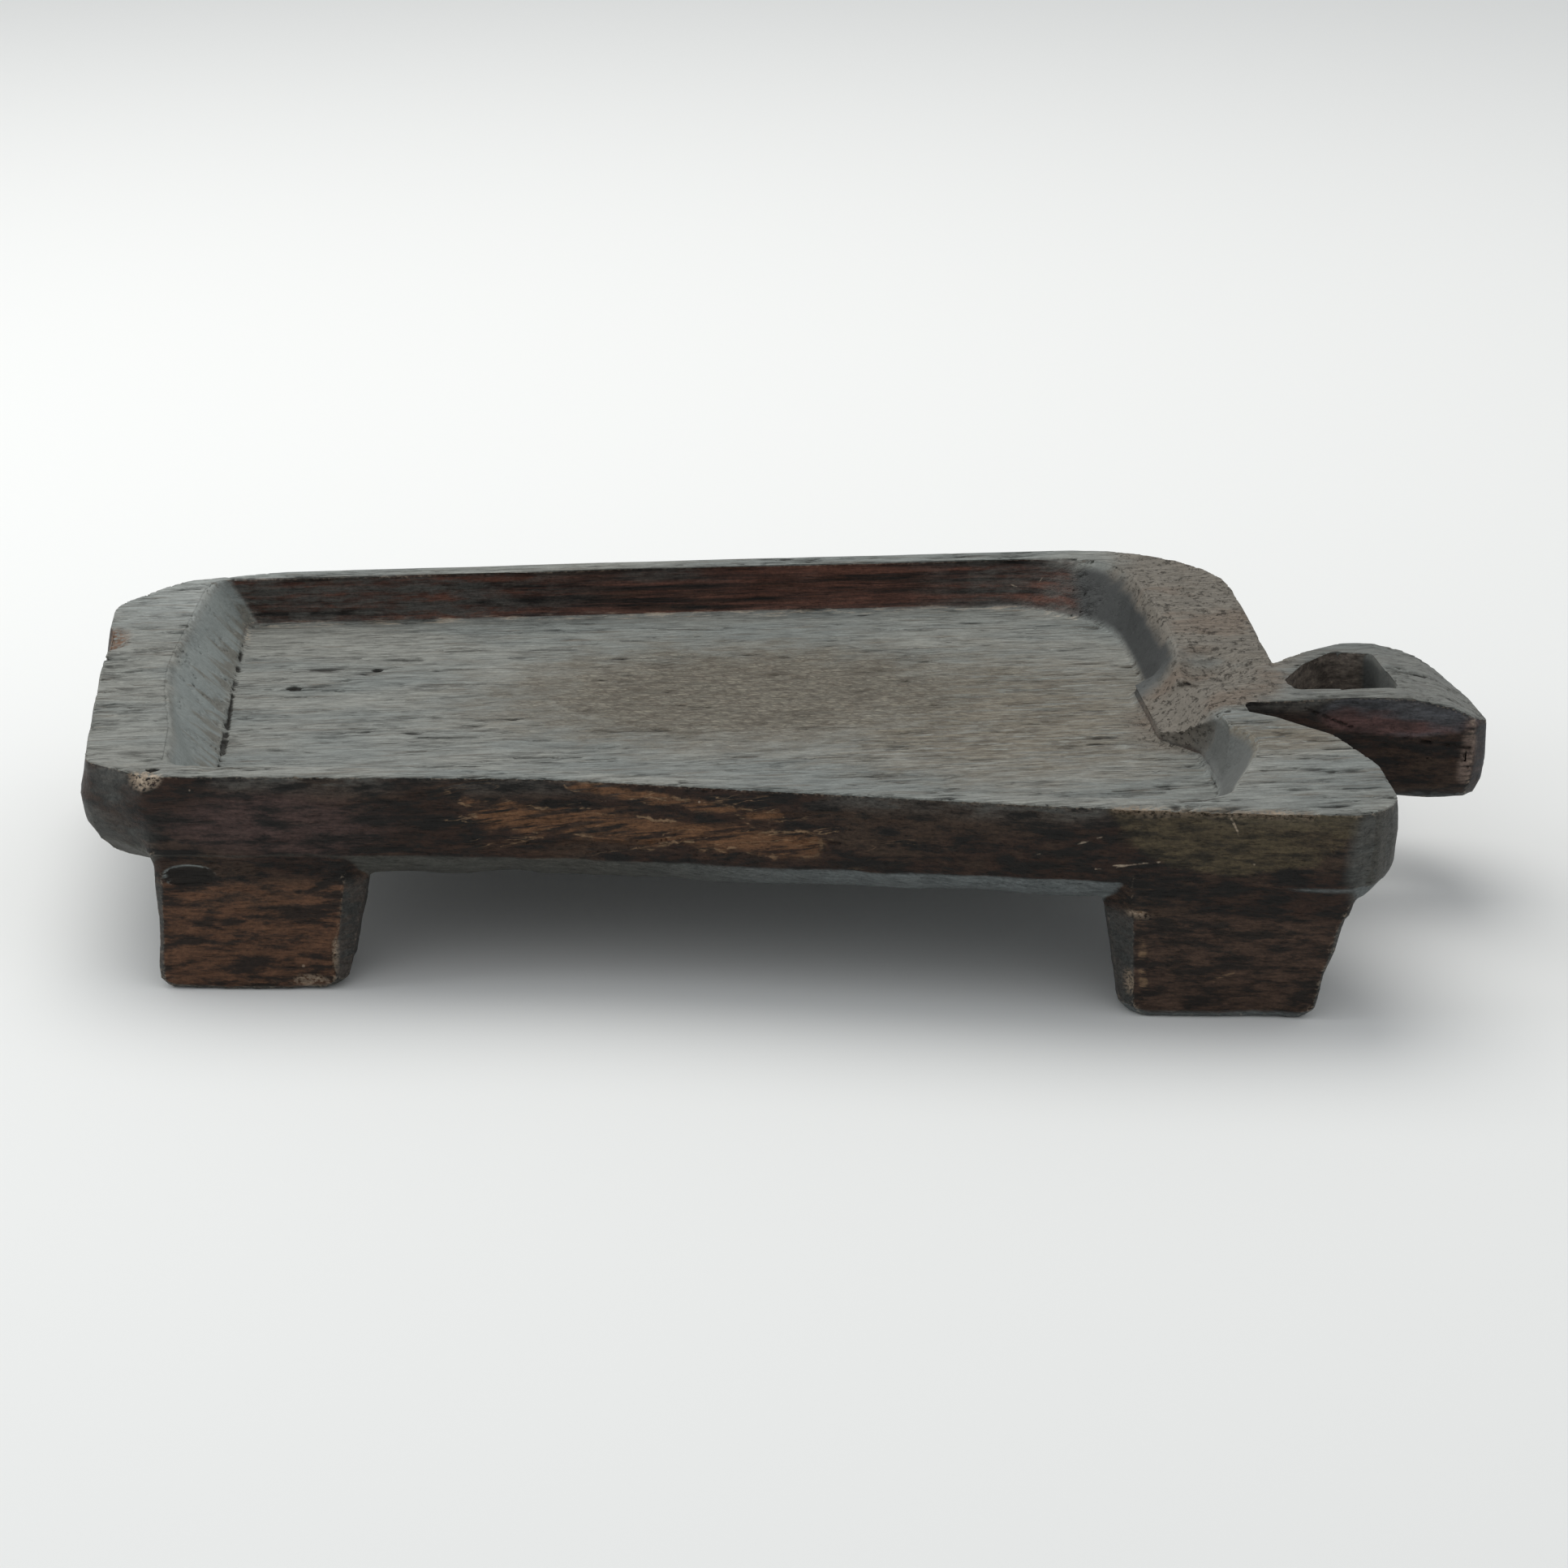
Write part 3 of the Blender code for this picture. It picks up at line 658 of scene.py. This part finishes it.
def sideColour(place, aside, wood):
    x, y, z = split(place)
    mottle = woodCloud(place, "mottle")
    patches = woodCloud(place, "patches")
    colour = mixed(ramp(mottle, 0.42, 0.58), wood["blackSide"], wood["redSide"])
    colour = mixed(ramp(patches * 0.5 + mottle * 0.5, 0.50, 0.60), colour, wood["umberSide"])

    # the inside of the back wall is banded with red
    behind = ramp(y, 0.12, 0.15) * ramp(y, 0.1925, 0.1885) * ramp(z, wellFloor - 0.002, wellFloor + 0.002)
    bands = woodCloud(place, "bands")
    colour = mixed(behind * ramp(bands, 0.37, 0.68), colour, wood["redWall"])

    # painted sheen: a grey sheen painted along the top edges, on the back wall and on the left end
    edging = ramp(z, rimTop - 0.012, rimTop - 0.002) * ramp(patches, 0.42, 0.58)
    greySheen = highest(highest(edging, behind * ramp(x, -0.05, -0.15)), behind * ramp(x, 0.07, 0.12) * 0.8)
    colour = mixed(greySheen * ramp(mottle, 0.38, 0.60) * 0.8, colour, wood["greySheen"])
    leftEnd = ramp(x, -0.278, -0.300) * ramp(z, underside, underside + 0.010)
    colour = mixed(leftEnd * ramp(patches, 0.36, 0.60) * 0.85, colour, wood["greySheen"])
    stain = zoneOf(place, plumPatch, 0.6, 0.4) * ramp(mottle, 0.34, 0.60)
    colour = mixed(stain * 0.8, colour, wood["plum"])
    colour = frontColour(place, colour, wood)

    olive = zoneOf(place, oliveScoop, 0.3, 0.05) * (0.25 + ramp(mottle, 0.38, 0.60) * 0.75)
    colour = mixed(olive * 0.85, colour, wood["olive"])

    # the grip: plum and blue on its front, a red arris, pale walls in the slot
    gripSide = zoneOf(place, gripHollow, 0.3, 0.12) * ramp(y, -0.030, -0.042)
    plum = mixed(ramp(patches, 0.46, 0.56), wood["gripRed"], wood["gripBlue"])
    colour = mixed(gripSide * (0.55 + ramp(mottle, 0.40, 0.60) * 0.4), colour, plum)
    colour = mixed(linesOver(place, gripArris) * ramp(mottle, 0.36, 0.60) * 0.8, colour, wood["arris"])
    tip = ramp(aside, 0.60, 0.85) * ramp(x, 0.305, 0.312)
    colour = mixed(tip * 0.8, colour, wood["gripBlue"])
    inSlot = zoneOf(place, slotWalls, 0.0, 0.1) * ramp(y, -0.040, -0.034)
    colour = mixed(inSlot * (0.35 + ramp(mottle, 0.38, 0.60) * 0.65), colour, wood["slot"])

    # the hewn flats of the front right corner, some painted dark, some with a painted grey sheen
    shares = split(cells(place, woodCells["cornerFlats"], "Color"))[0]
    flats = mixed(ramp(shares, 0.30, 0.60), wood["bandDark"], wood["greySheen"])
    colour = mixed(zoneOf(place, cornerFacets, 0.2, 0.2) * 0.8, colour, flats)

    # the feet: their own brown, with the left feet painted lighter, partly painted light falling on them
    foot = ramp(z, underside + 0.004, underside - 0.004)
    footTone = mixed(ramp(x, -0.05, 0.05), wood["footBrownLit"], wood["footDark"])
    colour = mixed(foot * (0.12 + ramp(mottle, 0.41, 0.60) * 0.83), colour, footTone)
    colour = mixed(foot * ramp(abs(aside), 0.25, 0.55) * 0.75, colour, wood["footFlank"])

    # the knot with a painted highlight round its rim, the light streaks on the feet and the scratches
    scar = zoneOf(place, knot, 0.3, 0.12)
    paintedRimHighlight = scar * ramp(zoneOf(place, knot, 0.3, 0.45), 0.95, 0.55)
    colour = mixed(scar * 0.9, colour, wood["groove"])
    # painted highlight: a pale broken ring painted round the knot's rim
    colour = mixed(paintedRimHighlight * ramp(mottle, 0.50, 0.56) * 0.8, colour, wood["paleSheen"])
    colour = mixed(linesOver(place, footStreaks) * ramp(mottle, 0.46, 0.60) * 0.5, colour, wood["tan"])
    marks = linesOver(place, scratches + wallScratches)
    marks = marks * ramp(woodCloud(place, "brokenMarks"), 0.42, 0.55)
    return mixed(marks * 0.6, colour, wood["pale"])


def oldWood(wood):
    material = bpy.data.materials.new("oldWood")
    material.use_nodes = True
    tree = material.node_tree
    shader = tree.nodes["Principled BSDF"]
    place = put(tree, "ShaderNodeTexCoord", {}, "Object")
    up, aside, ridge, hollow, fresh = [put(tree, "ShaderNodeAttribute", {}, "Fac", attribute_name=name)
                                       for name in ("up", "aside", "ridge", "hollow", "fresh")]
    x, y, z = split(place)
    fine = woodCloud(place, "fine")
    fibre = woodCloud(place, "fibre")
    grit = woodCloud(place, "grit")
    granule = woodCloud(place, "granule")
    crackle = cells(turned(place, (0, 0, 1), 25.0), woodCells["crackle"], feature="DISTANCE_TO_EDGE")
    rough = roughMask(place)

    # level: 1 where the grey top shows, 0 on the dark sides; the grey is partly a painted sky reflection
    inside = ramp(z, wellFloor, wellFloor + 0.003) * ramp(y, 0.187, 0.180)
    leftWall = ramp(aside, 0.15, 0.35) * ramp(x, -0.22, -0.24) * inside
    rightWall = ramp(aside, -0.25, -0.45) * ramp(x, 0.165, 0.175) * inside
    smoothWall = highest(leftWall, rightWall)
    level = ramp(up + (woodCloud(place, "raggedEdge") - 0.5) * 0.08, 0.46, 0.56)
    darkCorner = ramp(y, 0.150, 0.162) * inside * ramp(up, 0.92, 0.80) * ramp(x, 0.168, 0.160)
    level = highest(level * (1.0 - darkCorner), smoothWall)
    plain = 1.0 - smoothWall * 0.75

    colour = mixed(level, sideColour(place, aside, wood), topColour(place, aside, wood))
    band = mixed(ramp(x, -0.10, 0.03), wood["bandDark"], wood["slate"])
    colour = mixed(ramp(up, -0.30, -0.55) * 0.9, colour, band)
    rare = ramp(woodCloud(place, "rare"), 0.52, 0.60)
    flecks = ramp(cells(place, woodCells["flecks"]), 0.065, 0.030) * (1.0 - level) * rare
    edges = ramp(ridge, 0.20, 0.60) * ramp(grit, 0.48, 0.60) * (1.0 - level) * 0.35
    wallFoot = ramp(ridge, -0.10, -0.40) * ramp(y, 0.14, 0.16) * ramp(fibre, 0.50, 0.62) * 0.45
    broken = mixed(ramp(x, -0.298, -0.308), wood["crumb"], wood["rust"])
    colour = mixed(fresh * ramp(grit, 0.36, 0.54) * 0.9, colour, broken)
    chipped = zoneOf(place, cornerChip, 0.6, 0.3) * ramp(grit, 0.40, 0.54)
    colour = mixed(chipped * 0.9, colour, wood["pale"])
    colour = mixed(strongest([flecks * 0.6, edges, wallFoot]), colour, wood["pale"])

    # dark: hollows, open grain, pits and the crackled patch of the floor
    lines = ridgeLines(place, (0.030, 0.0024, 0.0020), 0.050, 0.46, 0.60)
    lines = lines * (level * 0.7 + 0.25) * (1.0 - rough)
    crackled = level * zoneOf(place, wornPatch, 0.9, 0.5) * ramp(crackle, 0.22, 0.03) * fibre
    dark = strongest([ramp(hollow, 0.12, 0.85), lines * 0.6 * plain, ramp(fine, 0.44, 0.26) * 0.45 * plain,
                      level * rough * ramp(granule, 0.47, 0.36) * 0.75, crackled * 0.85])
    colour = mixed(dark * 0.9, colour, wood["groove"])
    speckle = 1.0 + (grit - 0.5) * (1.3 - level * 0.7)
    tone = speckle * (1.0 + (ramp(fibre, 0.32, 0.68) - 0.5) * plain * 0.50)
    shade = put(tree, "ShaderNodeVectorMath", {0: colour, "Scale": tone}, operation="SCALE")
    tree.links.new(shade.socket, shader.inputs["Base Color"])

    roughness = wood["roughness"] + grit * 0.25 + rough * level * 0.30 + dark * 0.2
    tree.links.new(roughness.socket, shader.inputs["Roughness"])
    shader.inputs["Specular IOR Level"].default_value = wood["gloss"]

    height = (fine * 0.4 + fibre * 0.5 + grit * 0.35) * plain - dark * 0.8
    values = {"Strength": wood["relief"], "Distance": wood["reliefHeight"], "Height": height}
    bump = put(tree, "ShaderNodeBump", values, "Normal")
    tree.links.new(bump.socket, shader.inputs["Normal"])
    return material


wood = oldWood(woodSetup)


def carved(block, settings, finish, triangles):
    modifier = block.modifiers.new("weathering", "NODES")
    modifier.node_group = carvingTree(settings, finish)
    for item in modifier.node_group.interface.items_tree:
        if item.in_out == "INPUT" and item.name in settings:
            modifier[item.identifier] = settings[item.name]
    applied(block)
    thin = block.modifiers.new("thin", "DECIMATE")
    thin.ratio = min(1.0, triangles / (2 * len(block.data.polygons)))
    return applied(block)


carved(block, weathering, wood, blockSetup["triangles"])
print("block carved:", len(block.data.polygons), "faces")


# The block is parted into its natural regions on flat planes inside the wood

# The grip's root is cut along a line from gripRootFront to gripRootBack, seen from above
partingSetup = {"footCut": underside - 0.0008, "gripFront": -0.056, "gripRootFront": (0.2132, -0.056),
                "gripRootBack": (0.2342, 0.0120), "weld": 1e-6, "sharpAbove": 50}
pieceNames = ["trayBody", "grip", "footFrontLeft", "footFrontRight", "footBackLeft", "footBackRight"]


def regionOf(point, setup):
    if point.z < setup["footCut"]:
        side = "Left" if point.x < 0 else "Right"
        return ("footFront" if point.y < 0 else "footBack") + side
    return "grip" if point.y > setup["gripFront"] and beyondRoot(point, setup) > 0 else "trayBody"


def beyondRoot(point, setup):
    (x0, y0), (x1, y1) = setup["gripRootFront"], setup["gripRootBack"]
    return (point.x - x0) * (y1 - y0) - (point.y - y0) * (x1 - x0)


def parted(block, setup, finish):
    shape = bmesh.new()
    shape.from_mesh(block.data)
    (x0, y0), (x1, y1) = setup["gripRootFront"], setup["gripRootBack"]
    rootNormal = Vector((y1 - y0, x0 - x1, 0))
    planes = [(Vector((0, 0, setup["footCut"])), Vector((0, 0, 1))),
              (Vector((x0, y0, 0)), rootNormal)]
    for centre, normal in planes:
        around = list(shape.verts) + list(shape.edges) + list(shape.faces)
        bmesh.ops.bisect_plane(shape, geom=around, dist=setup["weld"], plane_co=centre, plane_no=normal)
    whole = bpy.data.meshes.new("whole")
    owner = [regionOf(face.calc_center_median(), setup) for face in shape.faces]
    shape.to_mesh(whole)
    shape.free()
    pieces = {}
    for name in pieceNames:
        piece = bmesh.new()
        piece.from_mesh(whole)
        piece.faces.ensure_lookup_table()
        others = [face for face, belongs in zip(piece.faces, owner) if belongs != name]
        bmesh.ops.delete(piece, geom=others, context="FACES")
        rims = [edge for edge in piece.edges if edge.is_boundary]
        bmesh.ops.holes_fill(piece, edges=rims, sides=0)
        bmesh.ops.triangulate(piece, faces=[face for face in piece.faces if len(face.verts) > 4])
        bmesh.ops.recalc_face_normals(piece, faces=piece.faces)
        mesh = bpy.data.meshes.new(name)
        piece.to_mesh(mesh)
        piece.free()
        mesh.materials.clear()
        mesh.materials.append(finish)
        mesh.shade_smooth()
        mesh.set_sharp_from_angle(angle=math.radians(setup["sharpAbove"]))
        obj = bpy.data.objects.new(name, mesh)
        bpy.context.scene.collection.objects.link(obj)
        pieces[name] = obj
    bpy.data.objects.remove(block)
    bpy.data.meshes.remove(whole)
    return pieces


pieces = parted(block, partingSetup, wood)
for name, piece in pieces.items():
    print("piece", name, len(piece.data.polygons), "faces")

standsFor = {
    "trayBody": ("tray_body", "weathered_top"),
    "grip": ("handle", "dark_side"),
    "footFrontLeft": ("foot_front_left", "foot_wood"),
    "footFrontRight": ("foot_front_right", "foot_wood"),
    "footBackLeft": ("foot_back_left", "foot_wood"),
    "footBackRight": ("foot_back_right", "foot_wood"),
}
for name, (node, slot) in standsFor.items():
    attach(pieces[name], "root")
    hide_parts(node)
